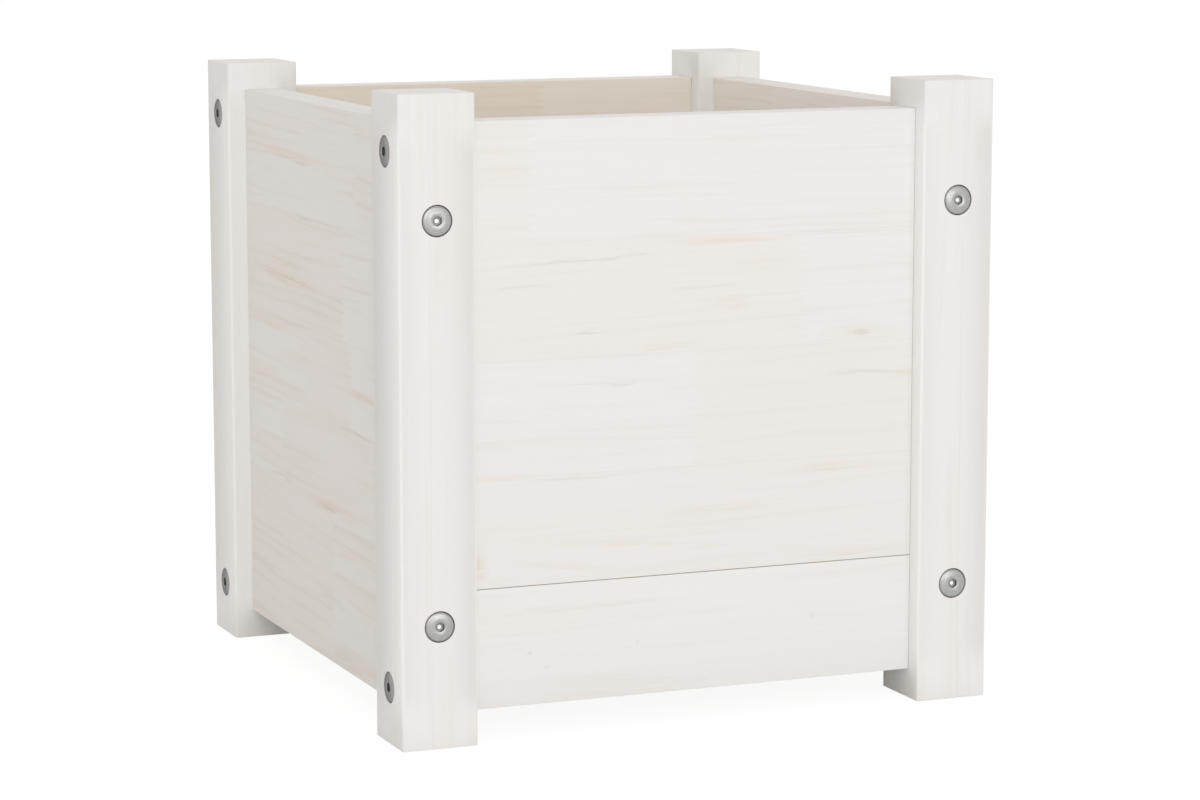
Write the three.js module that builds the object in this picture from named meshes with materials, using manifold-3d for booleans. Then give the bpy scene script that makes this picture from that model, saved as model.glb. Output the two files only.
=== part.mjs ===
// Square planter box in white-washed pine: four corner posts, four panels bolted between them,
// and a slatted floor on two cleats. Millimetres, +Z up, +X to the right, +Y to the back.
// The origin is on the ground, under the middle of the box.

import * as THREE from 'three';
import { mergeVertices } from 'three/addons/utils/BufferGeometryUtils.js';
import Module from 'manifold-3d';

const wasm = await Module();
wasm.setup();

// ---- driving dimensions ----

const width = 310;                 // over the posts, left to right
const depth = 310;                 // over the posts, front to back
const height = 310;                // of the posts
const postSide = 38;
const postEase = 1.2;              // radius on a post's long edges
const postEndEase = 0.5;           // chamfer round a post's two ends

const panelThickness = 19;
const panelGroundGap = 15;         // under the panels
const panelTopDrop = 14;           // from the post tops down to the panels
const panelEase = 0.8;             // radius on a board's long edges
const lowerBoardHeight = 58;       // of the low board in the front and the back
const boardJointGap = 0.5;         // the open joint above it

const boltDiameter = 6;
const boltLength = 60;             // under the head
const boltHeadDiameter = 15;
const boltHeadThickness = 2.2;
const boltHeadProud = 0.8;         // how far the head stands out of the post
const boltHeadRim = 0.7;           // radius round the head
const boltTipChamfer = 0.8;
const socketAcrossFlats = 4;
const socketDepth = 2.6;
const endBoltLow = 12.5;           // front and back panels: lower bolt above the panel's bottom edge
const endBoltHigh = 13.5;          // and upper bolt below its top edge
const sideBoltLow = 44;            // the same for the left and right panels
const sideBoltHigh = 45;

const insertDiameter = 10;         // of the threaded sleeve in the panel's end
const insertLength = 20;
const insertSink = 0.5;            // of the sleeve below the panel's end

const dowelDiameter = 8;
const dowelLength = 30;
const dowelChamfer = 1;

const cleatWidth = 20;
const cleatHeight = 20;
const slatCount = 3;
const slatThickness = 12;
const drainGap = 8;                // between two slats
const floorEndGap = 1;             // between the floor and the posts or the side panels
const floorEase = 1;               // radius on the long edges of slats and cleats

const screwHeadDiameter = 7;
const screwShankDiameter = 3.4;
const screwTipLength = 4;
const screwRecessWidth = 0.9;
const screwRecessLength = 3.6;
const screwRecessDepth = 1.5;
const screwSink = 0.3;             // of the head below the wood
const slatScrewLength = 25;
const cleatScrewLength = 33;

const panelEndGap = 0.3;           // between a panel's end and the post
const fitGap = 0.3;                // all round a bolt, insert, dowel or screw in its hole
const boreRunOut = 1;              // of a hole past the tip of what it holds
const toolOverrun = 1;             // of a cutting body past the surface that it opens

const boltSides = 16;              // facets of a bolt and of its counterbore
const boreSides = 12;              // facets of bores, inserts, dowels and screws
const arcSteps = 3;                // facets of an eased edge

// ---- derived places ----

const panelSetback = (postSide - panelThickness) / 2;
const panelBottom = panelGroundGap;
const panelTop = height - panelTopDrop;
const upperBoardBottom = panelBottom + lowerBoardHeight + boardJointGap;
const postX = (width - postSide) / 2;
const postY = (depth - postSide) / 2;
const betweenPostsX = width - 2 * postSide;
const betweenPostsY = depth - 2 * postSide;
const innerWidth = width - 2 * (panelSetback + panelThickness);
const cleatTop = panelBottom + cleatHeight;
const floorTop = cleatTop + slatThickness;
const floorDepth = betweenPostsY - 2 * floorEndGap;
const slatWidth = (floorDepth - (slatCount - 1) * drainGap) / slatCount;
const slatPitch = slatWidth + drainGap;

// ---- materials ----

const finish = (color, roughness, metalness = 0) =>
  new THREE.MeshStandardMaterial({ color, roughness, metalness });
const whitewash = finish(0xebeae6, 0.6);
const bareWood = finish(0xd4c9bc, 0.7);
const zincSteel = finish(0x9b9b98, 0.4, 0.9);
const beech = finish(0xc8a070, 0.7);

// ---- shaping ----

const up = new THREE.Vector3(0, 0, 1);

function toSolid(geometry) {
  const bare = geometry.clone();
  bare.deleteAttribute('normal');
  bare.deleteAttribute('uv');
  const merged = mergeVertices(bare, 1e-4);
  return new wasm.Manifold(new wasm.Mesh({
    numProp: 3,
    vertProperties: Float32Array.from(merged.attributes.position.array),
    triVerts: Uint32Array.from(merged.index.array),
  }));
}

function toGeometry(solid) {
  const mesh = solid.getMesh();
  const geometry = new THREE.BufferGeometry();
  geometry.setAttribute('position', new THREE.BufferAttribute(mesh.vertProperties, 3));
  geometry.setIndex(new THREE.BufferAttribute(mesh.triVerts, 1));
  geometry.computeVertexNormals();
  return geometry;
}

// A geometry with every tool cut out of it. The tools are given in the whole object's place,
// and the geometry in its own, which is moved to position.
function carve(geometry, tools, position) {
  let solid = toSolid(geometry);
  for (const tool of tools) {
    const placed = tool.clone().translate(-position.x, -position.y, -position.z);
    solid = solid.subtract(toSolid(placed));
  }
  return toGeometry(solid);
}

// A rectangle with rounded corners, centred on the origin.
function roundedRectangle(across, along, radius) {
  const x = across / 2 - radius;
  const y = along / 2 - radius;
  const shape = new THREE.Shape();
  shape.moveTo(x + radius, y);
  shape.absarc(x, y, radius, 0, Math.PI / 2);
  shape.absarc(-x, y, radius, Math.PI / 2, Math.PI);
  shape.absarc(-x, -y, radius, Math.PI, 1.5 * Math.PI);
  shape.absarc(x, -y, radius, 1.5 * Math.PI, 2 * Math.PI);
  return shape;
}

// A board lying along X, eased on its four long edges: length by thickness by height,
// standing on its bottom edge.
function board(length, thickness, boardHeight, ease) {
  const section = roundedRectangle(thickness, boardHeight, ease);
  const geometry = new THREE.ExtrudeGeometry(section, {
    depth: length, steps: 1, bevelEnabled: false, curveSegments: arcSteps,
  });
  return geometry
    .translate(0, boardHeight / 2, -length / 2)
    .rotateX(Math.PI / 2)
    .rotateZ(Math.PI / 2);
}

// A turned body about +Z from a profile of [radius, z] pairs, bottom to top.
function turned(profile, sides) {
  const points = profile.map(([radius, z]) => new THREE.Vector2(radius, z));
  return new THREE.LatheGeometry(points, sides).rotateX(Math.PI / 2);
}

// A round bar about +Z between two levels.
const bar = (radius, low, high, sides) =>
  turned([[0, low], [radius, low], [radius, high], [0, high]], sides);

// Turns a body so that its +Z points along direction, then moves it to a point.
function aimed(geometry, direction, point) {
  const turn = new THREE.Quaternion().setFromUnitVectors(up, direction);
  return geometry.clone().applyQuaternion(turn).translate(point.x, point.y, point.z);
}

// ---- the group ----

const planter = new THREE.Group();

function addPiece(name, geometry, material, position) {
  const mesh = new THREE.Mesh(geometry, material);
  mesh.name = name;
  mesh.position.copy(position);
  planter.add(mesh);
  return mesh;
}

// ---- where the bolts go ----

// Each post takes four bolts. Two run front to back and hold a side panel, two run left to
// right and hold the front or back panel. outward points from the post to the bolt's head.
const frontOrBack = [['front', -1], ['back', 1]];
const leftOrRight = [['left', -1], ['right', 1]];
const corners = frontOrBack.flatMap(([rowName, rowSign]) =>
  leftOrRight.map(([sideName, sideSign]) => ({ rowName, rowSign, sideName, sideSign })));

const joints = corners.flatMap(({ rowName, rowSign, sideName, sideSign }) => {
  const corner = `${rowName}_${sideName}`;
  const sidePanelJoint = (level, z) => ({
    corner,
    panel: sideName,
    name: `${corner}_side_${level}`,
    head: new THREE.Vector3(sideSign * postX, rowSign * depth / 2, z),
    outward: new THREE.Vector3(0, rowSign, 0),
  });
  const endPanelJoint = (level, z) => ({
    corner,
    panel: rowName,
    name: `${corner}_end_${level}`,
    head: new THREE.Vector3(sideSign * width / 2, rowSign * postY, z),
    outward: new THREE.Vector3(sideSign, 0, 0),
  });
  return [
    sidePanelJoint('upper', panelTop - sideBoltHigh),
    sidePanelJoint('lower', panelBottom + sideBoltLow),
    endPanelJoint('upper', panelTop - endBoltHigh),
    endPanelJoint('lower', panelBottom + endBoltLow),
  ];
});

// ---- bolts ----

// The bolt stands along +Z, with the post's face at z = 0.
const boltUnderHead = boltHeadProud - boltHeadThickness;
const boltTip = boltUnderHead - boltLength;

function boltGeometry() {
  const shankRadius = boltDiameter / 2;
  const headRadius = boltHeadDiameter / 2;
  const rimCentre = [headRadius - boltHeadRim, boltHeadProud - boltHeadRim];
  const rim = Array.from({ length: arcSteps + 1 }, (_, step) => {
    const angle = (step / arcSteps) * Math.PI / 2;
    return [rimCentre[0] + boltHeadRim * Math.cos(angle), rimCentre[1] + boltHeadRim * Math.sin(angle)];
  });
  const body = turned([
    [0, boltTip],
    [shankRadius - boltTipChamfer, boltTip],
    [shankRadius, boltTip + boltTipChamfer],
    [shankRadius, boltUnderHead],
    [headRadius, boltUnderHead],
    ...rim,
    [0, boltHeadProud],
  ], boltSides);
  const socketFloor = boltHeadProud - socketDepth;
  const socket = bar(socketAcrossFlats / Math.sqrt(3), socketFloor, boltHeadProud + toolOverrun, 6);
  return carve(body, [socket], new THREE.Vector3());
}

// What a bolt cuts out of the post and the panel: a bore for its shank and a seat for its head.
const boreTool = (joint) => aimed(
  bar(boltDiameter / 2 + fitGap, boltTip - boreRunOut, toolOverrun, boreSides),
  joint.outward, joint.head);
const seatTool = (joint) => aimed(
  bar(boltHeadDiameter / 2 + fitGap, boltUnderHead - fitGap, toolOverrun, boltSides),
  joint.outward, joint.head);

const bolt = boltGeometry();
for (const joint of joints) {
  const mesh = addPiece(`bolt_${joint.name}`, bolt, zincSteel, joint.head);
  mesh.quaternion.setFromUnitVectors(up, joint.outward);
}

// ---- threaded inserts ----

// A sleeve along +Z with the bolt's bore through it, its outer end at z = 0.
function insertBody() {
  const bore = boltDiameter / 2 + fitGap;
  const outside = insertDiameter / 2;
  return turned([
    [bore, -insertLength],
    [outside, -insertLength],
    [outside, 0],
    [bore, 0],
    [bore, -insertLength],
  ], boreSides);
}

const insertPlace = (joint) =>
  joint.head.clone().addScaledVector(joint.outward, -(postSide + panelEndGap + insertSink));
const insertTool = (joint) => aimed(
  bar(insertDiameter / 2 + fitGap, -insertLength - fitGap, insertSink + toolOverrun, boreSides),
  joint.outward, insertPlace(joint));

const insert = insertBody();
for (const joint of joints) {
  const mesh = addPiece(`insert_${joint.name}`, insert, zincSteel, insertPlace(joint));
  mesh.quaternion.setFromUnitVectors(up, joint.outward);
}

// ---- posts ----

function postGeometry() {
  const side = postSide;
  return new THREE.ExtrudeGeometry(roundedRectangle(side, side, postEase), {
    depth: height - 2 * postEndEase,
    steps: 1,
    curveSegments: arcSteps,
    bevelEnabled: true,
    bevelThickness: postEndEase,
    bevelSize: postEndEase,
    bevelOffset: -postEndEase,
    bevelSegments: 1,
  }).translate(0, 0, postEndEase);
}

for (const { rowName, rowSign, sideName, sideSign } of corners) {
  const corner = `${rowName}_${sideName}`;
  const place = new THREE.Vector3(sideSign * postX, rowSign * postY, 0);
  const cuts = joints.filter((joint) => joint.corner === corner)
    .flatMap((joint) => [boreTool(joint), seatTool(joint)]);
  addPiece(`post_${corner}`, carve(postGeometry(), cuts, place), whitewash, place);
}

// ---- the dowel in the middle of the open joint, in the front and in the back ----

function dowelGeometry() {
  const radius = dowelDiameter / 2;
  const half = dowelLength / 2;
  return turned([
    [0, -half],
    [radius - dowelChamfer, -half],
    [radius, -half + dowelChamfer],
    [radius, half - dowelChamfer],
    [radius - dowelChamfer, half],
    [0, half],
  ], boreSides);
}

const jointLevel = upperBoardBottom - boardJointGap / 2;
const dowels = frontOrBack.map(([rowName, rowSign]) => ({
  panel: rowName,
  place: new THREE.Vector3(0, rowSign * postY, jointLevel),
}));

const dowelTool = (dowel) => {
  const reach = dowelLength / 2 + fitGap;
  return aimed(bar(dowelDiameter / 2 + fitGap, -reach, reach, boreSides), up, dowel.place);
};

const dowelBody = dowelGeometry();
for (const dowel of dowels) {
  addPiece(`dowel_${dowel.panel}`, dowelBody, beech, dowel.place);
}

// ---- floor screws ----

// A countersunk screw along +Z, its head's rim at z = 0. grow widens and lengthens it into
// the hole that it sits in.
function screwBody(length, grow) {
  const headRadius = screwHeadDiameter / 2 + grow;
  const shankRadius = screwShankDiameter / 2 + grow;
  const rim = grow > 0 ? toolOverrun + screwSink : 0;
  return turned([
    [0, -length - grow],
    [shankRadius, -length + screwTipLength - grow],
    [shankRadius, -(headRadius - shankRadius)],
    [headRadius, 0],
    ...(rim > 0 ? [[headRadius, rim]] : []),
    [0, rim],
  ], boreSides);
}

function screwGeometry(length) {
  const slot = new THREE.BoxGeometry(screwRecessLength, screwRecessWidth, 2 * screwRecessDepth);
  const cross = slot.clone().rotateZ(Math.PI / 2);
  return carve(screwBody(length, 0), [slot, cross], new THREE.Vector3());
}

const screwHole = (screw) => aimed(screwBody(screw.length, fitGap), screw.outward, screw.head);

const slatCentre = (index) => (index - (slatCount - 1) / 2) * slatPitch;
const gapCentre = (index) => slatCentre(index) + slatPitch / 2;
const slatNumbers = Array.from({ length: slatCount }, (_, index) => index);
const gapNumbers = slatNumbers.slice(1).map((index) => index - 1);

// The cleats lie against the side panels, and the slats' screws go into their middle.
const cleatFace = innerWidth / 2 - cleatWidth;
const cleatMiddle = innerWidth / 2 - cleatWidth / 2;

const slatScrews = leftOrRight.flatMap(([sideName, sideSign]) =>
  slatNumbers.map((index) => ({
    name: `slat_screw_${sideName}_${index + 1}`,
    side: sideName,
    slat: index,
    length: slatScrewLength,
    outward: up,
    head: new THREE.Vector3(sideSign * cleatMiddle, slatCentre(index), floorTop - screwSink),
  })));

// The cleats' screws sit under the drainage gaps, clear of the slats' screws.
const cleatScrews = leftOrRight.flatMap(([sideName, sideSign]) =>
  gapNumbers.map((index) => ({
    name: `cleat_screw_${sideName}_${index + 1}`,
    side: sideName,
    length: cleatScrewLength,
    outward: new THREE.Vector3(-sideSign, 0, 0),
    head: new THREE.Vector3(
      sideSign * (cleatFace + screwSink), gapCentre(index), panelBottom + cleatHeight / 2),
  })));

// ---- panels ----

const panelJoints = (panel) => joints.filter((joint) => joint.panel === panel)
  .flatMap((joint) => [boreTool(joint), insertTool(joint)]);
const panelDowels = (panel) => dowels.filter((dowel) => dowel.panel === panel).map(dowelTool);

for (const [rowName, rowSign] of frontOrBack) {
  const length = betweenPostsX - 2 * panelEndGap;
  const cuts = [...panelJoints(rowName), ...panelDowels(rowName)];
  const upperPlace = new THREE.Vector3(0, rowSign * postY, upperBoardBottom);
  const upperBoard = board(length, panelThickness, panelTop - upperBoardBottom, panelEase);
  addPiece(`${rowName}_upper_board`, carve(upperBoard, cuts, upperPlace), whitewash, upperPlace);
  const lowerPlace = new THREE.Vector3(0, rowSign * postY, panelBottom);
  const lowerBoard = board(length, panelThickness, lowerBoardHeight, panelEase);
  addPiece(`${rowName}_lower_board`, carve(lowerBoard, cuts, lowerPlace), whitewash, lowerPlace);
}

for (const [sideName, sideSign] of leftOrRight) {
  const length = betweenPostsY - 2 * panelEndGap;
  const cuts = [
    ...panelJoints(sideName),
    ...cleatScrews.filter((screw) => screw.side === sideName).map(screwHole),
  ];
  const place = new THREE.Vector3(sideSign * postX, 0, panelBottom);
  const sideBoard = board(length, panelThickness, panelTop - panelBottom, panelEase).rotateZ(Math.PI / 2);
  addPiece(`${sideName}_panel`, carve(sideBoard, cuts, place), whitewash, place);
}

// ---- floor ----

for (const [sideName, sideSign] of leftOrRight) {
  const cuts = [...slatScrews, ...cleatScrews].filter((screw) => screw.side === sideName).map(screwHole);
  const place = new THREE.Vector3(sideSign * cleatMiddle, 0, panelBottom);
  const cleat = board(floorDepth, cleatWidth, cleatHeight, floorEase).rotateZ(Math.PI / 2);
  addPiece(`floor_cleat_${sideName}`, carve(cleat, cuts, place), bareWood, place);
}

for (const index of slatNumbers) {
  const cuts = slatScrews.filter((screw) => screw.slat === index).map(screwHole);
  const place = new THREE.Vector3(0, slatCentre(index), cleatTop);
  const slat = board(innerWidth - 2 * floorEndGap, slatWidth, slatThickness, floorEase);
  addPiece(`floor_slat_${index + 1}`, carve(slat, cuts, place), bareWood, place);
}

for (const screws of [slatScrews, cleatScrews]) {
  const geometry = screwGeometry(screws[0].length);
  for (const screw of screws) {
    const mesh = addPiece(screw.name, geometry, zincSteel, screw.head);
    mesh.quaternion.setFromUnitVectors(up, screw.outward);
  }
}

export default planter;
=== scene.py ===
import fnmatch
import math

import bmesh
import bpy
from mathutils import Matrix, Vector


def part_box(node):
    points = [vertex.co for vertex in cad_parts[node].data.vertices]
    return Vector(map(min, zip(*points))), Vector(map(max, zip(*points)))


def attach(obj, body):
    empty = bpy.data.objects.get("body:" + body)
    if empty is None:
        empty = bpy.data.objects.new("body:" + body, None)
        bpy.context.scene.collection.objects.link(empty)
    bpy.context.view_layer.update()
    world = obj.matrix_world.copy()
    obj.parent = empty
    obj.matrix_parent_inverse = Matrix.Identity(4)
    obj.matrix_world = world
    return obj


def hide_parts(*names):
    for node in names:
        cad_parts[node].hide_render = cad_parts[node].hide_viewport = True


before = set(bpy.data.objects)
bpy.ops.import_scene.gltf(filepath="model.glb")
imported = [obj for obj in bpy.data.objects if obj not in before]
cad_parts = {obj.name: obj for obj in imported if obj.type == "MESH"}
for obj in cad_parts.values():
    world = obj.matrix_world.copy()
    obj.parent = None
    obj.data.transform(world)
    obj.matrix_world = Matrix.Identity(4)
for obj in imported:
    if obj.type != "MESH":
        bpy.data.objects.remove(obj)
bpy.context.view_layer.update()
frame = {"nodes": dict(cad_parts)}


# ---- Corner posts ----
# Square pine posts, planed, with the long edges sanded soft and the two ends left crisp. A painted
# highlight lightens the soft edges. Each is glued up from two laths of finger-jointed blocks, and
# bolts go through it from two sides, with their heads let into round seats.

mm = 0.001
sideways, backwards, upright = range(3)     # the frame's axes
post_ease = 1.2 * mm
post_end_ease = 0.5 * mm
crisp_end = 9 * mm          # the stretch at a post's end whose edges stay crisp
soft_start = 26 * mm        # from here on the edges are sanded soft
bolt_head_thickness = 2.2 * mm
bolt_shank_radius = 3 * mm
fit_gap = 0.3 * mm          # all round a bolt, an insert, a dowel or a screw in its hole
seat_gap = 0.1 * mm         # round a bolt's head, which is pulled tight into its seat
end_gap = 1 * mm            # of a hole past the tip of what it holds
hair = 0.01 * mm            # places closer than this are the same

# A thin matt white wash on planed pine. It hides most of the grain and is a little warmer on some
# blocks than on others. A painted highlight lightens it along the posts' soft long edges.
white_wash = "#EFEFED"
warm_wash = "#EFEDEA"
# Painted highlight: the colour that lightens the posts' long edges, where the bent normals lose light.
painted_highlight_colour = "#FAF9F6"
# What shows through it: beige latewood lines, resin stains, grey-brown pitch and glue lines.
washed_latewood = "#DDD6CA"
stain = "#E6D7C0"
pitch = "#B4A692"
glue = "#D0C2B4"


def block_of(node):
    """A plain block of a CAD node's size, in its place."""
    low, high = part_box(node)
    bpy.ops.object.select_all(action="DESELECT")
    bpy.ops.mesh.primitive_cube_add(size=1, location=(low + high) / 2, scale=high - low)
    piece = bpy.context.object
    piece.name = piece.data.name = f"{node}_wood"
    bpy.ops.object.transform_apply(location=True, rotation=True, scale=True)
    return piece


def ease(piece, chosen, radius, segments):
    """Rounds the chosen edges of a piece."""
    bpy.context.view_layer.objects.active = piece
    bpy.ops.object.mode_set(mode="EDIT")
    bpy.ops.mesh.select_mode(type="EDGE")
    bpy.ops.mesh.select_all(action="DESELECT")
    mesh = bmesh.from_edit_mesh(piece.data)
    for edge in mesh.edges:
        edge.select_set(chosen(edge))
    bmesh.update_edit_mesh(piece.data)
    bpy.ops.mesh.bevel(offset=radius, offset_type="OFFSET", segments=segments, affect="EDGES")
    bpy.ops.object.mode_set(mode="OBJECT")


def runs_along(axis):
    """Chooses the edges that run along an axis."""
    def chosen(edge):
        run = edge.verts[1].co - edge.verts[0].co
        return abs(run[axis]) > 0.99 * run.length
    return chosen


def lies_at(axis, places):
    """Chooses the edges that lie in a plane across an axis, at one of some places."""
    def chosen(edge):
        return any(all(abs(v.co[axis] - place) < hair for v in edge.verts) for place in places)
    return chosen


def score(piece, axis, places):
    """Gives a piece's surface a line of corners at each place along an axis."""
    bpy.context.view_layer.objects.active = piece
    bpy.ops.object.mode_set(mode="EDIT")
    for place in places:
        point, normal = Vector(), Vector()
        point[axis] = place
        normal[axis] = 1
        bpy.ops.mesh.select_all(action="SELECT")
        bpy.ops.mesh.bisect(plane_co=point, plane_no=normal)
    bpy.ops.object.mode_set(mode="OBJECT")


def outer_end(node):
    """The middle of the outer end of a turned piece, and the way in along its axis."""
    low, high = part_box(node)
    size = high - low
    axis = max(range(3), key=lambda i: size[i])
    inward = Vector()
    inward[axis] = -math.copysign(1, (low + high)[axis])
    return (low + high) / 2 - inward * size[axis] / 2, inward, size[axis]


def round_cutter(start, direction, radius, depth, sides=48):
    """A round cutter that goes in from a point."""
    turn = direction.to_track_quat("Z", "Y").to_euler()
    bpy.ops.object.select_all(action="DESELECT")
    bpy.ops.mesh.primitive_cylinder_add(
        vertices=sides, radius=radius, depth=depth, location=start + direction * depth / 2,
        rotation=turn)
    return bpy.context.object


def cut(piece, cutter):
    """Cuts a cutter out of a piece and throws the cutter away."""
    hole = piece.modifiers.new("hole", "BOOLEAN")
    hole.object = cutter
    hole.solver = "EXACT"
    bpy.context.view_layer.objects.active = piece
    bpy.ops.object.modifier_apply(modifier=hole.name)
    bpy.data.objects.remove(cutter)


def bore_for_bolt(piece, bolt):
    """Drills the straight hole that a bolt goes through."""
    start, inward, length = outer_end(bolt)
    before = start - inward * end_gap
    cut(piece, round_cutter(before, inward, bolt_shank_radius + fit_gap, length + 2 * end_gap))


def seat_for_head(piece, bolt):
    """Sinks the round seat that a bolt's head sits in."""
    start, inward, _ = outer_end(bolt)
    low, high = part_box(bolt)
    radius = min(high - low) / 2 + seat_gap
    before = start - inward * end_gap
    cut(piece, round_cutter(before, inward, radius, bolt_head_thickness + fit_gap + end_gap, sides=64))


def shade(piece, angle=35):
    """Shades a piece smooth across its rounded edges only."""
    bpy.ops.object.select_all(action="DESELECT")
    piece.select_set(True)
    bpy.context.view_layer.objects.active = piece
    bpy.ops.object.shade_smooth_by_angle(angle=math.radians(angle))


def soften_edge_shading(post, middle, half_height):
    """Lets the light roll round the long edges of a post, away from its ends, and lays a painted
    highlight along them.
    """
    roll = 0.9              # how far the light rolls: 1 would be a round post
    highlight_power = 1.5               # a higher power keeps the painted highlight closer to the edges
    facing = 0.6            # ends and holes look less outward than this
    mesh = post.data
    # A painted highlight along the long edges, strongest at the corners, makes up for the light that
    # the bent normals lose.
    painted_highlight = mesh.attributes.new("painted_highlight", "FLOAT", "CORNER")
    normals = [corner.vector.copy() for corner in mesh.corner_normals]
    for face in mesh.polygons:
        out = (face.center - middle) * Vector((1, 1, 0))
        if face.normal.dot(out.normalized()) < facing:
            continue
        for corner in face.loop_indices:
            place = mesh.vertices[mesh.loops[corner].vertex_index].co - middle
            from_end = half_height - abs(place.z)
            share = min(max((from_end - crisp_end) / (soft_start - crisp_end), 0), 1)
            radial = (place * Vector((1, 1, 0))).normalized()
            normals[corner] = normals[corner].lerp(radial, roll * share).normalized()
            near, far = sorted((abs(place.x), abs(place.y)))
            painted_highlight.data[corner].value = share * (near / far) ** highlight_power
    mesh.normals_split_custom_set(normals)


def colour(text):
    """Linear colour of an sRGB hex value."""
    parts = [int(text[i:i + 2], 16) / 255 for i in (1, 3, 5)]
    return [c / 12.92 if c <= 0.04045 else ((c + 0.055) / 1.055) ** 2.4 for c in parts] + [1]


def add(tree, kind, inputs=None, **settings):
    """Adds a shader node: its settings, and its inputs as values, sockets or nodes to link."""
    made = tree.nodes.new("ShaderNode" + kind)
    for name, value in settings.items():
        setattr(made, name, value)
    for key, value in (inputs or {}).items():
        if isinstance(value, bpy.types.Node):
            value = value.outputs[0]
        if isinstance(value, bpy.types.NodeSocket):
            tree.links.new(value, made.inputs[key])
        else:
            made.inputs[key].default_value = value
    return made


def empty_tree(owner):
    """The node tree of a material or a sky, with nothing in it."""
    owner.use_nodes = True
    owner.node_tree.nodes.clear()
    return owner.node_tree


def place_in_mm(tree):
    """Where a point of a piece is, in millimetres."""
    place = add(tree, "TexCoord").outputs["Object"]
    return add(tree, "VectorMath", {0: place, "Scale": 1 / mm}, operation="SCALE")


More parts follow.
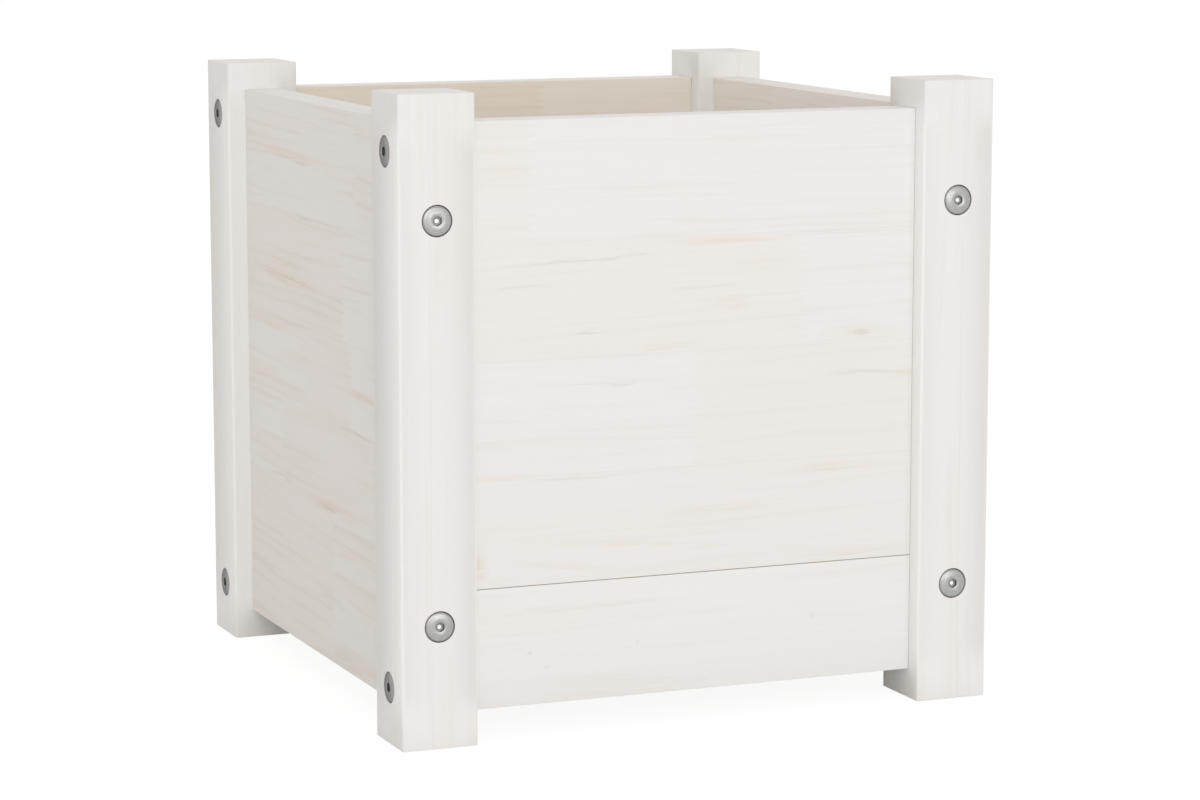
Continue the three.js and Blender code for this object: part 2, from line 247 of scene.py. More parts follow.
def pine(name, along, pale, warm, latewood, laths, late_strength=0.3, marks=(), face=0,
         mark_depth=8, inside=(), joint_at=None):
    """Planed pine, glued up from blocks. Sizes and places are in millimetres.

    along is the axis of the grain. Each lath has the glue line below it, how warm its first
    block is, and its finger joints, each with how warm the block past it is. late_strength is
    how well the rings show. Each mark has its place along and across the grain, its half length
    and half width, its strength and its tilt in degrees: resin stains come first, then pitch.
    They lie at the face, a place along the third axis, and reach mark_depth into it. inside has
    the pale and the warm colour of the face that looks into the planter. joint_at is the height
    of an open joint, where the wash is thinner too.
    """
    across, depth = {
        sideways: (upright, backwards), backwards: (upright, sideways),
        upright: (sideways, backwards)}[along]
    finger_pitch = 3.8
    finger_length = 7
    glue_line = 0.2         # half of its width, drawn wider than a real one so that it shows
    glue_share = 0.13
    askew_most = 0.04       # the slope of the most crooked block's grain
    next_block = (400, 90, 60)          # how far the wood's place jumps, at most
    ring_spacing = 5.2
    cloud_size = 12
    fibre_width = 1.4       # real fibres are far finer and wouldn't show
    feather_width = 2.5
    waver_width = 7
    drawn_out_by = (0.08, 1, 1)
    fibre_drawn_out_by = (0.03, 1, 1)
    inside_from, inside_full = 127.6, 126.7     # from the planter's middle, inwards
    joint_reach = 0.27      # from the middle of the open joint up and down
    material = bpy.data.materials.new(name)
    tree = empty_tree(material)
    axes = add(tree, "SeparateXYZ", {0: place_in_mm(tree)}).outputs

    # Which block of the glued-up board a point is in, how warm it is, and the glue lines.
    fingers = add(tree, "Math", {0: axes[across], 1: finger_pitch / 2}, operation="PINGPONG")
    comb = add(tree, "Math", {0: fingers, 1: 2 * finger_length / finger_pitch, 2: axes[along]},
               operation="MULTIPLY_ADD")
    block, tone, seam = 0, 0, 0
    for number, (line, first_tone, joints) in enumerate(laths):
        above = add(tree, "Math", {0: axes[across], 1: line}, operation="GREATER_THAN")
        on_line = add(tree, "Math", {0: axes[across], 1: line, 2: glue_line}, operation="COMPARE")
        block = add(tree, "Mix", {0: above, 2: block, 3: 10 * number})
        tone = add(tree, "Mix", {0: above, 2: tone, 3: first_tone})
        seam = add(tree, "Math", {0: on_line, 1: seam}, operation="MAXIMUM")
        for step, (joint, next_tone) in enumerate(joints, 1):
            past = add(tree, "Math", {0: comb, 1: joint}, operation="GREATER_THAN")
            past = add(tree, "Math", {0: past, 1: above}, operation="MULTIPLY")
            block = add(tree, "Mix", {0: past, 2: block, 3: 10 * number + step})
            tone = add(tree, "Mix", {0: past, 2: tone, 3: next_tone})
    chance = add(tree, "TexWhiteNoise", {"W": block}, noise_dimensions="1D").outputs

    # The wood's own place: along the grain, across it and into it. It jumps from block to block,
    # and the grain runs a little askew in each.
    askew = add(tree, "Math", {0: chance["Value"], 1: 2 * askew_most, 2: -askew_most},
                operation="MULTIPLY_ADD")
    drift = add(tree, "Math", {0: axes[along], 1: askew, 2: axes[across]}, operation="MULTIPLY_ADD")
    lengthwise = add(tree, "CombineXYZ", {0: axes[along], 1: axes[across], 2: axes[depth]})
    grain = add(tree, "CombineXYZ", {0: axes[along], 1: drift, 2: axes[depth]})
    jump = add(tree, "VectorMath", {0: chance["Color"], 1: next_block, 2: grain},
               operation="MULTIPLY_ADD")
    drawn_out = add(tree, "VectorMath", {0: jump, 1: drawn_out_by}, operation="MULTIPLY")
    rings = add(tree, "TexWave", {
        "Vector": drawn_out, "Scale": 2 * math.pi / 20 / ring_spacing, "Distortion": 7,
        "Detail": 3, "Detail Scale": 1.3, "Detail Roughness": 0.55},
        wave_type="RINGS", rings_direction="X", wave_profile="SAW")
    late = add(tree, "MapRange", {0: rings.outputs["Fac"], 1: 0.55, 2: 1.0},
               interpolation_type="SMOOTHSTEP")
    cloud = add(tree, "TexNoise", {"Vector": drawn_out, "Scale": 1 / cloud_size, "Detail": 3})
    thin = add(tree, "MapRange", {0: cloud, 1: 0.4, 2: 0.65}, interpolation_type="SMOOTHSTEP")
    fibre_place = add(tree, "VectorMath", {0: jump, 1: fibre_drawn_out_by}, operation="MULTIPLY")
    fibre = add(tree, "TexNoise", {
        "Vector": fibre_place, "Scale": 1 / fibre_width, "Detail": 3, "Roughness": 0.6})

    # Colour: the wash, warmer block by block and where it is thin, then latewood and fibre.
    warmth = add(tree, "Math", {0: thin, 1: 0.6, 2: tone}, operation="MULTIPLY_ADD")
    paint = add(tree, "MixRGB", {"Fac": warmth, "Color1": colour(pale), "Color2": colour(warm)})
    # The faces that look into the planter get their own colours. On the side panels these are painted
    # lighter than outside, as painted light on the shaded inside.
    if inside:
        off_middle = add(tree, "Math", {0: axes[depth]}, operation="ABSOLUTE")
        inner = add(tree, "MapRange", {0: off_middle, 1: inside_from, 2: inside_full})
        inside_paint = add(tree, "MixRGB", {
            "Fac": warmth, "Color1": colour(inside[0]), "Color2": colour(inside[1])})
        paint = add(tree, "MixRGB", {"Fac": inner, "Color1": paint, "Color2": inside_paint})
    late_share = add(tree, "Math", {0: thin, 1: 0.9, 2: 0.1}, operation="MULTIPLY_ADD")
    late_share = add(tree, "Math", {0: late_share, 1: late}, operation="MULTIPLY")
    late_share = add(tree, "Math", {0: late_share, 1: late_strength}, operation="MULTIPLY")
    paint = add(tree, "MixRGB", {"Fac": late_share, "Color1": paint, "Color2": colour(latewood)})
    fleck = add(tree, "MapRange", {0: fibre, 1: 0.3, 2: 0.7, 3: 0.985, 4: 1.0})
    paint = add(tree, "MixRGB", {"Fac": 1, "Color1": paint, "Color2": fleck}, blend_type="MULTIPLY")

    # Resin stains and pitch, drawn out along the grain with feathered edges.
    feather = add(tree, "TexNoise", {"Vector": drawn_out, "Scale": 1 / feather_width, "Detail": 2})
    waver = add(tree, "Math", {0: feather, 1: waver_width, 2: -waver_width / 2},
                operation="MULTIPLY_ADD")
    waver = add(tree, "CombineXYZ", {1: waver})
    wavered = add(tree, "VectorMath", {0: lengthwise, 1: waver})
    broken = add(tree, "MapRange", {0: feather, 1: 0.35, 2: 0.6, 3: 0.35, 4: 1})
    for ink, spots in zip((stain, pitch), marks):
        spread = 0
        for spot_along, spot_across, half_length, half_width, strength, tilt in spots:
            share = add(tree, "Mapping", {
                "Vector": wavered, "Location": (spot_along, spot_across, face),
                "Rotation": (0, 0, math.radians(tilt)), "Scale": (half_length, half_width, mark_depth)},
                vector_type="TEXTURE")
            reach = add(tree, "VectorMath", {0: share}, operation="LENGTH").outputs["Value"]
            spot = add(tree, "MapRange", {0: reach, 1: 1, 2: 0, 3: 0, 4: strength},
                       interpolation_type="SMOOTHSTEP")
            spread = add(tree, "Math", {0: spread, 1: spot}, operation="MAXIMUM")
        if spots:
            spread = add(tree, "Math", {0: spread, 1: broken}, operation="MULTIPLY")
            paint = add(tree, "MixRGB", {"Fac": spread, "Color1": paint, "Color2": colour(ink)})
    seam = add(tree, "Math", {0: seam, 1: glue_share}, operation="MULTIPLY")
    paint = add(tree, "MixRGB", {"Fac": seam, "Color1": paint, "Color2": colour(glue)})
    # Painted highlight along the posts' long edges.
    painted_highlight = add(tree, "Attribute", attribute_name="painted_highlight").outputs["Fac"]
    paint = add(tree, "MixRGB", {"Fac": painted_highlight, "Color1": paint, "Color2": colour(painted_highlight_colour)})
    if joint_at:
        in_joint = add(tree, "Math", {0: axes[across], 1: joint_at, 2: joint_reach},
                       operation="COMPARE")
        paint = add(tree, "MixRGB", {"Fac": in_joint, "Color1": paint, "Color2": colour(joint_wash)})

    # The surface has dried flat, with the fibres just raised, and keeps only a faint sheen.
    relief = add(tree, "Math", {0: late, 1: 0.3, 2: fibre}, operation="MULTIPLY_ADD")
    bump = add(tree, "Bump", {"Height": relief, "Strength": 0.2, "Distance": 0.05 * mm})
    surface = add(tree, "BsdfPrincipled", {
        "Base Color": paint, "Roughness": 0.6, "Specular IOR Level": 0.3, "Normal": bump})
    add(tree, "OutputMaterial", {"Surface": surface})
    return material


def finish(piece, material, slot, *nodes):
    """Gives a finished piece its material, hides the nodes that it stands for and hangs it from the
    root. slot is not used.
    """
    piece.data.materials.clear()
    piece.data.materials.append(material)
    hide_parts(*nodes)
    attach(piece, "root")


bolts = [node for node in frame["nodes"] if node.startswith("bolt_")]
# The laths of each post, and the grey mark on one of them, in the order that pine() says.
post_laths = {
    "front_left": [(-200, 0.0, []), (-140, 0.35, [(215, 1.0)])],
    "front_right": [(100, 0.25, [(120, 0.0)]), (139, 0.0, [])],
    "back_left": [(-200, 0.6, [(240, 0.2)]), (-131, 0.1, [(96, 0.7)])],
    "back_right": [(100, 0.3, []), (141, 0.0, [(170, 0.8)])],
}
post_marks = {"front_left": ([], [(155, -156, 26, 9, 0.4, 0)])}
for corner, laths in post_laths.items():
    node = f"post_{corner}"
    low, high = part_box(node)
    middle = (low + high) / 2
    post = block_of(node)
    ease(post, runs_along(upright), post_ease, 4)
    ease(post, lies_at(upright, (low.z, high.z)), post_end_ease, 2)
    # The scored lines give soften_edge_shading() corners across the faces and near the ends.
    columns = [share * (high.x - low.x) / 6 for share in (-2, -1, 0, 1, 2)]
    score(post, sideways, [middle.x + column for column in columns])
    score(post, backwards, [middle.y + column for column in columns])
    score(post, upright, [low.z + crisp_end, low.z + soft_start,
                          high.z - soft_start, high.z - crisp_end])
    for bolt in [name for name in bolts if name.startswith(f"bolt_{corner}_")]:
        seat_for_head(post, bolt)
        bore_for_bolt(post, bolt)
    shade(post)
    soften_edge_shading(post, middle, (high.z - low.z) / 2)
    wood = pine(f"washed_pine_{node}", upright, white_wash, warm_wash, washed_latewood, laths,
                late_strength=0.14, marks=post_marks.get(corner, ()), face=-123, mark_depth=2)
    finish(post, wood, "whitewashed_pine", node)


# ---- Panel boards ----
# Edge-glued pine boards, each of laths that are finger-jointed from short blocks, planed,
# with eased long edges and a coat of white wash, coloured differently on the inside. The front and
# the back are two boards with an open joint, and each side is one board.

board_ease = 0.3 * mm
# The wash is a touch warmer on the side panels. Inside, the front and back are coloured a warmer
# tan, and the sides are painted lighter than outside: painted light on the shaded inside. The wash
# is thinner in the open joint, whose line is a little warm.
side_wash = "#EEEEEB"
side_warm_wash = "#EDE9E4"
end_inside = ("#EEE8DE", "#ECE3D7")
# Painted light: the sides' inner faces are lighter than their outer ones.
side_inside_painted_lighter = ("#F8F6F1", "#F6F0E8")
joint_wash = "#EDE8DF"

screw_head_radius = 3.5 * mm
screw_shank_radius = 1.7 * mm
screw_tip = 4 * mm
screw_point = 0.05          # the width of the tip's end, as a share of the shank's


def bore_for_node(piece, node):
    """Drills a hole round a turned piece, with the fit gap all round."""
    low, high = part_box(node)
    radius = min(high - low) / 2 + fit_gap
    start, inward, length = outer_end(node)
    before = start - inward * fit_gap
    cut(piece, round_cutter(before, inward, radius, length + 2 * fit_gap, sides=32))


def screw_end(screw):
    """The middle of a screw's head, the way in along its axis, and its length."""
    low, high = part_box(screw)
    if "slat" in screw:
        inward = Vector((0, 0, -1))
    else:
        inward = Vector((math.copysign(1, low.x), 0, 0))
    length = max(high - low)
    return (low + high) / 2 - inward * length / 2, inward, length


def choose_faces(piece, chosen):
    """Selects the chosen faces of a piece that is in edit mode."""
    bpy.ops.mesh.select_mode(type="FACE")
    bpy.ops.mesh.select_all(action="DESELECT")
    mesh = bmesh.from_edit_mesh(piece.data)
    for face in mesh.faces:
        face.select_set(chosen(face))
    bmesh.update_edit_mesh(piece.data)


def turned_screw(length, grow, overrun):
    """A countersunk screw's shape along Z from its head's rim at z = 0, or the hole round it."""
    head = screw_head_radius + grow
    shank = screw_shank_radius + grow
    bpy.ops.object.select_all(action="DESELECT")
    bpy.ops.mesh.primitive_cylinder_add(
        vertices=32, radius=shank, depth=length - screw_tip - (head - shank),
        location=(0, 0, (length - screw_tip + head - shank) / 2))
    blank = bpy.context.object
    bpy.ops.object.transform_apply(location=True)
    bpy.ops.object.mode_set(mode="EDIT")
    choose_faces(blank, lambda face: face.normal.z > 0.9)
    bpy.ops.mesh.extrude_region_move(TRANSFORM_OT_translate={"value": (0, 0, screw_tip + grow)})
    bpy.ops.transform.resize(value=(screw_point, screw_point, 1))
    choose_faces(blank, lambda face: face.normal.z < -0.9)
    bpy.ops.mesh.extrude_region_move(TRANSFORM_OT_translate={"value": (0, 0, shank - head)})
    bpy.ops.transform.resize(value=(head / shank, head / shank, 1))
    if overrun:
        bpy.ops.mesh.extrude_region_move(TRANSFORM_OT_translate={"value": (0, 0, -overrun)})
    bpy.ops.object.mode_set(mode="OBJECT")
    return blank


def put_at(piece, start, inward):
    """Turns a piece made along Z to point inward, and moves its origin to the start."""
    turn = inward.to_track_quat("Z", "Y").to_matrix().to_4x4()
    piece.data.transform(turn.Translation(start) @ turn)


def hole_for_screw(piece, screw):
    """Drills and countersinks the hole that a screw sits in."""
    start, inward, length = screw_end(screw)
    cutter = turned_screw(length, grow=fit_gap, overrun=end_gap)
    put_at(cutter, start, inward)
    cut(piece, cutter)


# The laths, resin stains and pitch of each panel, in the order that pine() says.
front_laths = [
    (0, 0.45, [(-109, 0.35)]), (126, 0.0, [(3, 0.7)]), (182, 0.75, [(61, 0.0)]),
    (238, 0.55, [(-81, 0.0)]),
]
front_stains = [
    (18, 235, 46, 3.4, 0.5, -1), (36, 224, 30, 7, 0.22, 0), (18, 205, 15, 5, 0.4, 0),
    (-101, 281, 24, 3, 0.42, 0), (-100, 272, 24, 7, 0.22, 0), (88, 187, 32, 6, 0.35, 0),
    (113, 166, 14, 3, 0.42, 0), (-18, 186, 30, 2.4, 0.3, 0), (75, 121, 34, 3.6, 0.48, 0),
    (-113, 84, 7, 13, 0.5, 0), (10, 105, 42, 3, 0.34, 2), (-30, 90, 72, 2.6, 0.26, -5),
    (-66, 81, 50, 2.6, 0.26, -8), (90, 77, 60, 4, 0.28, 0), (-103, 126, 34, 2.6, 0.25, 0),
]
front_pitch = [
    (-65, 228.5, 62, 1.3, 0.24, 3.5), (-96, 217, 28, 1.1, 0.18, 3), (-57, 194, 11, 1.4, 0.24, 1),
    (88, 187, 7, 2, 0.45, 0), (91, 167, 26, 1.4, 0.3, 0), (-60, 169, 60, 1.2, 0.18, 0),
    (-63, 124.5, 54, 1, 0.16, 0), (3, 213, 24, 1, 0.14, 0), (75, 237, 60, 0.9, 0.12, 0),
]
lower_pitch = [
    (-87, 41, 1.8, 1.4, 0.2, 0), (-78, 33, 2, 1.4, 0.22, 0), (63, 47, 2.4, 1.8, 0.22, 0),
    (-31, 41, 1.4, 1.2, 0.16, 0), (-20, 37, 1.4, 1.2, 0.16, 0), (-50, 60.5, 60, 0.9, 0.1, 0),
]
side_laths = [
    (0, 0.5, [(-20, 0.8)]), (95.8, 0.7, [(60, 0.5)]), (138, 0.4, [(-50, 0.8), (20, 0.5)]),
    (181, 0.1, [(-40, 0.8)]), (237.5, 0.5, [(-60, 0.3)]),
]
left_stains = [
    (48, 203, 66, 5, 0.6, 0.5), (48, 211, 44, 4, 0.3, 0), (-77, 157, 42, 4, 0.5, 0),
    (-22, 95, 64, 6, 0.45, 0), (30, 267, 95, 4, 0.45, 1), (-60, 75, 64, 5, 0.4, 0),
    (90, 150, 44, 5, 0.3, 0), (-90, 22, 50, 4, 0.3, 0), (80, 176, 64, 4, 0.35, 0),
]
left_pitch = [
    (48, 203.5, 64, 1.6, 0.28, 0.5), (-62, 138, 36, 1.6, 0.28, 0), (0, 237, 110, 1.2, 0.18, 0.5),
    (-20, 94, 34, 1.8, 0.22, 2), (-25, 47, 26, 4, 0.22, 4), (30, 265, 64, 1.2, 0.18, 2),
    (-97, 159, 9, 1.4, 0.24, 6), (60, 98, 44, 1.4, 0.16, 2),
]
back_laths = [
    (0, 0.3, [(12, 0.8)]), (128, 0.7, [(70, 0.2)]), (184, 0.1, [(-48, 0.6)]), (240, 0.6, [(30, 0.2)]),
]
right_laths = [
    (0, 0.2, [(66, 0.7)]), (95.8, 0.6, [(-5, 0.1)]), (138, 0.1, [(80, 0.6)]), (181, 0.8, [(-30, 0.3)]),
    (237.5, 0.2, [(45, 0.7)]),
]
joint_height = 73.25        # of the open joint, above the ground, in millimetres
joint_closing = 0.2 * mm    # how much narrower it looks than the gap between the solids
outer_face = 145.5          # of a panel, from the planter's middle, in millimetres
# Each piece has its bolts, the axis of its grain, its laths, how well its rings show, its marks.
panels = {
    "front_upper_board":
        ("bolt_front_*_end_upper", sideways, front_laths, 0.13, (front_stains, front_pitch)),
    "front_lower_board":
        ("bolt_front_*_end_lower", sideways, [(0, 0.1, [])], 0.12, ([], lower_pitch)),
    "back_upper_board": ("bolt_back_*_end_upper", sideways, back_laths, 0.35, ()),
    "back_lower_board": ("bolt_back_*_end_lower", sideways, [(0, 0.5, [(40, 0.1)])], 0.3, ()),
    "left_panel": ("bolt_*_left_side_*", backwards, side_laths, 0.33, (left_stains, left_pitch)),
    "right_panel": ("bolt_*_right_side_*", backwards, right_laths, 0.33, ()),
}
for node, (holders, along, laths, late_strength, marks) in panels.items():
    board = block_of(node)
    if node.endswith("upper_board"):
        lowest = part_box(node)[0].z
        for corner in board.data.vertices:
            if abs(corner.co.z - lowest) < hair:
                corner.co.z -= joint_closing
    ease(board, runs_along(along), board_ease, 4)
    for bolt in fnmatch.filter(bolts, holders):
        bore_for_bolt(board, bolt)
        bore_for_node(board, bolt.replace("bolt_", "insert_"))
    side = node.split("_")[0]
    if along == sideways:
        bore_for_node(board, f"dowel_{side}")
    for screw in fnmatch.filter(frame["nodes"], f"cleat_screw_{side}_*"):
        hole_for_screw(board, screw)
    shade(board)
    if along == sideways:
        pale, warm, inside = white_wash, warm_wash, end_inside
    else:
        pale, warm, inside = side_wash, side_warm_wash, side_inside_painted_lighter
    wood = pine(f"washed_pine_{node}", along, pale, warm, washed_latewood, laths,
                late_strength=late_strength, marks=marks, face=-outer_face, inside=inside,
                joint_at=joint_height if along == sideways else None)
    finish(board, wood, "whitewashed_pine", node)


# ---- Bolts ----
# Joint-connector bolts in zinc-plated steel: a thin round head with a rolled rim and a shallow
# dished face, a hexagon socket, and a plain shank. They hold the panels' ends to the posts.

rim_radius = 1.5 * mm
rim_start = 6.4 * mm        # outside this the head is painted darker
dome_height = 0.5 * mm
dish_radius = 3.3 * mm
dish_land = 0.9 * mm
dish_depth = 0.25 * mm
socket_across_corners = 4 * mm / math.cos(math.pi / 6)
socket_depth = 1.5 * mm
socket_land = 1.1 * mm      # round the drill point in the socket's floor, which is painted white
drill_point = 0.2 * mm
tip_chamfer = 0.8 * mm


def plain_metal(name, hex_value, roughness, glancing="#FFFFFF"):
    """Plated steel. glancing tints what it mirrors at a glancing look."""
    cloud_size = 1.25       # in millimetres
    grit_size = 0.25        # the plating's real grain is finer and wouldn't show
    uneven = 0.05           # how much the roughness varies
    material = bpy.data.materials.new(name)
    tree = empty_tree(material)
    place = place_in_mm(tree)
    cloud = add(tree, "TexNoise", {"Vector": place, "Scale": 1 / cloud_size, "Detail": 3})
    tone = add(tree, "MapRange", {0: cloud, 1: 0.3, 2: 0.7, 3: 0.9, 4: 1.0})
    paint = add(tree, "MixRGB", {"Fac": 1, "Color1": colour(hex_value), "Color2": tone},
                blend_type="MULTIPLY")
    grit = add(tree, "TexNoise", {"Vector": place, "Scale": 1 / grit_size, "Detail": 2})
    rough = add(tree, "MapRange", {
        0: grit, 1: 0.3, 2: 0.7, 3: roughness - uneven, 4: roughness + uneven})
    bump = add(tree, "Bump", {"Height": grit, "Strength": 0.2, "Distance": 0.02 * mm})
    surface = add(tree, "BsdfPrincipled", {
        "Base Color": paint, "Metallic": 1.0, "Roughness": rough, "Normal": bump,
        "Specular Tint": colour(glancing)})
    add(tree, "OutputMaterial", {"Surface": surface})
    return material


low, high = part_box(bolts[0])
head_radius = min(high - low) / 2
bolt_length = max(high - low)
bpy.ops.object.select_all(action="DESELECT")
bpy.ops.mesh.primitive_cylinder_add(
    vertices=64, radius=head_radius, depth=bolt_head_thickness - dome_height,
    location=(0, 0, (bolt_head_thickness + dome_height) / 2))
bolt_pattern = bpy.context.object
bpy.ops.object.transform_apply(location=True)
bpy.ops.object.mode_set(mode="EDIT")
choose_faces(bolt_pattern, lambda face: face.normal.z > 0.9)
bpy.ops.mesh.inset(thickness=head_radius - bolt_shank_radius)
bpy.ops.mesh.extrude_region_move(
    TRANSFORM_OT_translate={"value": (0, 0, bolt_length - bolt_head_thickness)})
bpy.ops.object.mode_set(mode="OBJECT")
ease(bolt_pattern, lies_at(upright, (dome_height,)), rim_radius, 5)
ease(bolt_pattern, lies_at(upright, (bolt_length,)), tip_chamfer, 1)

# The face rises in rings from the rim to a low dome, and is dished round the socket.
flat_radius = head_radius - rim_radius
dome_radius = (flat_radius ** 2 + dome_height ** 2) / (2 * dome_height)
rings = [flat_radius, 5.2 * mm, 4.2 * mm, dish_radius]
depths = [dome_radius - math.sqrt(dome_radius ** 2 - ring ** 2) for ring in rings]
bpy.ops.object.mode_set(mode="EDIT")
choose_faces(bolt_pattern, lambda face: face.normal.z < -0.99 and len(face.verts) > 4)
for outer, inner, outer_depth, inner_depth in zip(rings, rings[1:], depths, depths[1:]):
    bpy.ops.mesh.inset(thickness=outer - inner, depth=outer_depth - inner_depth)
bpy.ops.mesh.inset(thickness=dish_land, depth=-dish_depth)
bpy.ops.object.mode_set(mode="OBJECT")
cut(bolt_pattern, round_cutter(Vector((0, 0, -end_gap)), Vector((0, 0, 1)), socket_across_corners / 2,
                               socket_depth + end_gap, sides=6))
bpy.context.view_layer.objects.active = bolt_pattern
bpy.ops.object.mode_set(mode="EDIT")
choose_faces(bolt_pattern, lambda face: abs(face.calc_center_median().z - socket_depth) < hair)
bpy.ops.mesh.inset(thickness=socket_land, depth=-drill_point)
bpy.ops.object.mode_set(mode="OBJECT")
shade(bolt_pattern, angle=30)

# Bright zinc on steel gives the face soft silver-grey glints. The rim is painted a little darker
# and rougher: painted shade that draws a grey ring round the head. The socket's walls are painted
# darker still, as painted shade in the hollow, and its bottom near white, as a painted highlight.
zinc = plain_metal("zinc_plated_steel", "#B0B0AD", 0.34, "#909090")
rim_painted_darker = plain_metal("rim_zinc_painted_darker", "#A4A4A1", 0.4, "#A0A0A0")
socket_painted_shade = plain_metal("socket_zinc_painted_shade", "#8C8C8A", 0.4, "#A0A0A0")
socket_painted_highlight = plain_metal("socket_floor_painted_highlight", "#F4F4F2", 0.3)
# Which faces get the painted darker rim, the painted shade in the socket and the painted highlight at
# its bottom.
head_paint_zones = {}
point_depth = socket_depth + drill_point
for face in bolt_pattern.data.polygons:
    reach = min(bolt_pattern.data.vertices[i].co.xy.length for i in face.vertices)
    deep = face.center.z
    in_socket = reach < socket_across_corners / 2 + hair
    if reach > rim_start and deep < bolt_head_thickness:
        head_paint_zones[face.index] = 1
    elif in_socket and dish_depth < deep < point_depth - hair:
        head_paint_zones[face.index] = 2
    elif in_socket and abs(deep - point_depth) < hair:
        head_paint_zones[face.index] = 3
for node in bolts:
    start, inward, _ = outer_end(node)
    bolt = bpy.data.objects.new(f"{node}_steel", bolt_pattern.data.copy())
    bpy.context.scene.collection.objects.link(bolt)
    put_at(bolt, start, inward)
    finish(bolt, zinc, "zinc_steel", node)
    for steel in (rim_painted_darker, socket_painted_shade, socket_painted_highlight):
        bolt.data.materials.append(steel)
    for face in bolt.data.polygons:
        face.material_index = head_paint_zones.get(face.index, 0)
bpy.data.objects.remove(bolt_pattern)


# ---- Inserts and dowels ----
# Threaded sleeves in yellow zinc-plated steel sit in the panels' ends, and one beech dowel keeps
# the two boards of the front, and of the back, in line. They keep their turned shapes.

# Yellow-passivated zinc looks like dull brass. Beech is a fine-grained pinkish tan.
yellow_zinc = plain_metal("yellow_zinc_plated_steel", "#B79F63", 0.4)
beech_pale = "#D9B58A"
beech_warm = "#D2A97B"
beech_latewood = "#C1946A"
beech = pine("beech", upright, beech_pale, beech_warm, beech_latewood, [(0, 0.5, [])])
for node, piece in frame["nodes"].items():
    if node.startswith(("insert_", "dowel_")):
        piece.data.materials.clear()
        piece.data.materials.append(beech if node.startswith("dowel_") else yellow_zinc)


# ---- Floor ----
# Planed pine, only lightly washed: two cleats screwed to the side panels, and three slats across
# them with gaps that let the water out. The slats are screwed down at both ends.

floor_ease = 1 * mm
# The light wash leaves the pine's own tan, and its latewood shows clearly.
plain_pale = "#E2D7C5"
plain_warm = "#DDCDB4"
plain_latewood = "#C9AC84"
slat_tones = (0.2, 0.7, 0.4)        # how warm each slat is

for node in fnmatch.filter(frame["nodes"], "floor_cleat_*"):
    cleat = block_of(node)
    ease(cleat, runs_along(backwards), floor_ease, 4)
    for screw in fnmatch.filter(frame["nodes"], f"*_screw_{node.split('_')[-1]}_*"):
        hole_for_screw(cleat, screw)
    shade(cleat)
    wood = pine(f"plain_pine_{node}", backwards, plain_pale, plain_warm, plain_latewood,
                [(0, 0.5, [])])
    finish(cleat, wood, "plain_pine", node)

for number, tone in enumerate(slat_tones, 1):
    node = f"floor_slat_{number}"
    slat = block_of(node)
    ease(slat, runs_along(sideways), floor_ease, 4)
    for screw in fnmatch.filter(frame["nodes"], f"slat_screw_*_{number}"):
        hole_for_screw(slat, screw)
    shade(slat)
    wood = pine(f"plain_pine_{node}", sideways, plain_pale, plain_warm, plain_latewood,
                [(number, tone, [])])
    finish(slat, wood, "plain_pine", node)


# ---- Floor screws ----
# Countersunk wood screws in yellow zinc-plated steel, driven with a cross-shaped bit: six go
# down through the slats into the cleats, and four through the cleats into the side panels.

recess_length = 3.6 * mm
recess_width = 0.9 * mm
recess_depth = 1.5 * mm
recess_taper = 0.4          # the recess's width at its bottom, as a share of that at its top
head_land = 0.2 * mm        # the eased edge round the head

for screw in fnmatch.filter(frame["nodes"], "*_screw_*"):
    start, inward, length = screw_end(screw)
    piece = turned_screw(length, grow=0, overrun=0)
    ease(piece, lies_at(upright, (0,)), head_land, 2)
    for size in ((recess_length, recess_width), (recess_width, recess_length)):
        bpy.ops.object.select_all(action="DESELECT")
        bpy.ops.mesh.primitive_cube_add(size=1, scale=(*size, 2 * recess_depth))
        wing = bpy.context.object
        bpy.ops.object.mode_set(mode="EDIT")
        choose_faces(wing, lambda face: face.normal.z > 0.9)
        bpy.ops.transform.resize(value=(recess_taper, recess_taper, 1))
        bpy.ops.object.mode_set(mode="OBJECT")
        cut(piece, wing)
    shade(piece)
    piece.name = piece.data.name = f"{screw}_steel"
    put_at(piece, start, inward)
    finish(piece, yellow_zinc, "yellow_zinc_steel", screw)


# ---- Studio ----
# A white paper floor that runs out of sight and keeps a faint shadow, a pale sky all round, a
# large soft lamp in front, a little to the left, and a small low one to the right that the
# bolts mirror. The camera stands where the photograph's did.

floor_reach = 30
paper_white = "#EFEFEE"
paper_glow = 1.07           # of the white that shows in place of the paper
paper_glow_share = 0.86     # the rest is the paper itself, with the shadow on it
sky_light = 0.775           # on the planter; seen directly the sky is white
sky_tint = "#FFFBF9"


def seen_directly(tree):
    """1 where a ray from the camera, a mirror or glass arrives, and 0 for plain light."""
    rays = add(tree, "LightPath").outputs
    seen = add(tree, "Math", {0: rays["Is Camera Ray"], 1: rays["Is Glossy Ray"]}, operation="MAXIMUM")
    return add(tree, "Math", {0: seen, 1: rays["Is Transmission Ray"]}, operation="MAXIMUM")


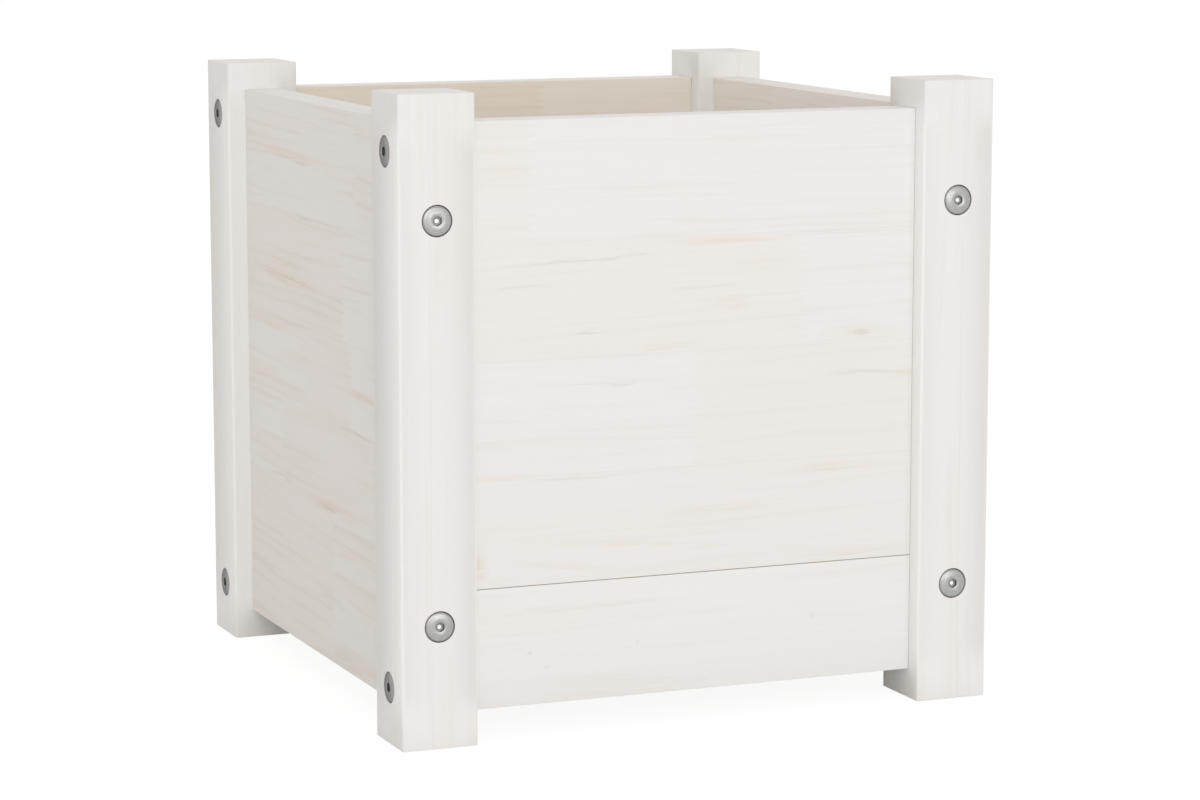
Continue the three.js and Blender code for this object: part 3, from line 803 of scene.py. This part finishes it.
bpy.ops.object.select_all(action="DESELECT")
bpy.ops.mesh.primitive_plane_add(size=2 * floor_reach)
floor = bpy.context.object
floor.name = "studio_floor"
paper = bpy.data.materials.new("studio_paper")
tree = empty_tree(paper)
matt = add(tree, "BsdfDiffuse", {"Color": colour(paper_white)})
glow = add(tree, "Emission", {"Color": colour("#FFFFFF"), "Strength": paper_glow})
glow_share = add(tree, "Math", {0: seen_directly(tree), 1: paper_glow_share}, operation="MULTIPLY")
sheet = add(tree, "MixShader", {0: glow_share, 1: matt, 2: glow})
add(tree, "OutputMaterial", {"Surface": sheet})
floor.data.materials.append(paper)

world = bpy.data.worlds.new("studio_sky")
bpy.context.scene.world = world
tree = empty_tree(world)
seen = seen_directly(tree)
strength = add(tree, "MapRange", {0: seen, 3: sky_light, 4: 1.0})
tint = add(tree, "MixRGB", {"Fac": seen, "Color1": colour(sky_tint), "Color2": colour("#FFFFFF")})
sky = add(tree, "Background", {"Color": tint, "Strength": strength.outputs[0]})
add(tree, "OutputWorld", {"Surface": sky})

# Each softbox has its way from the planter, its width and height, and its power.
aim = Vector((0, 0, 0.15))  # the middle of the planter
lamp_distance = 5
lamp_tint = (0.975, 1.01, 1.02)
softboxes = {
    "softbox_left": ((-0.245, -0.93, 0.29), 2.5, 1.9, 46.5),
    "softbox_right": ((0.25, -0.95, 0.045), 1.3, 0.65, 13),
}
for name, (lamp_way, width, height, power) in softboxes.items():
    softbox = bpy.data.lights.new(name, "AREA")
    softbox.shape = "RECTANGLE"
    softbox.size = width
    softbox.size_y = height
    softbox.energy = power
    softbox.color = lamp_tint
    lamp = bpy.data.objects.new(name, softbox)
    bpy.context.scene.collection.objects.link(lamp)
    way = Vector(lamp_way).normalized()
    lamp.location = aim + way * lamp_distance
    lamp.rotation_euler = way.to_track_quat("Z", "Y").to_euler()

camera_place = (-0.6976, -1.7151, 0.4178)
camera_tilt = 8.603         # degrees down from level
camera_turn = 22.405        # degrees to the right of straight back
camera_data = bpy.data.cameras.new("camera")
camera_data.sensor_width = 36
camera_data.lens = 107.7
camera_data.clip_end = 200
camera = bpy.data.objects.new("camera", camera_data)
bpy.context.scene.collection.objects.link(camera)
camera.location = camera_place
camera.rotation_euler = (math.radians(90 - camera_tilt), 0, math.radians(-camera_turn))
bpy.context.scene.camera = camera
bpy.context.scene.view_settings.view_transform = "Standard"

bpy.context.view_layer.update()
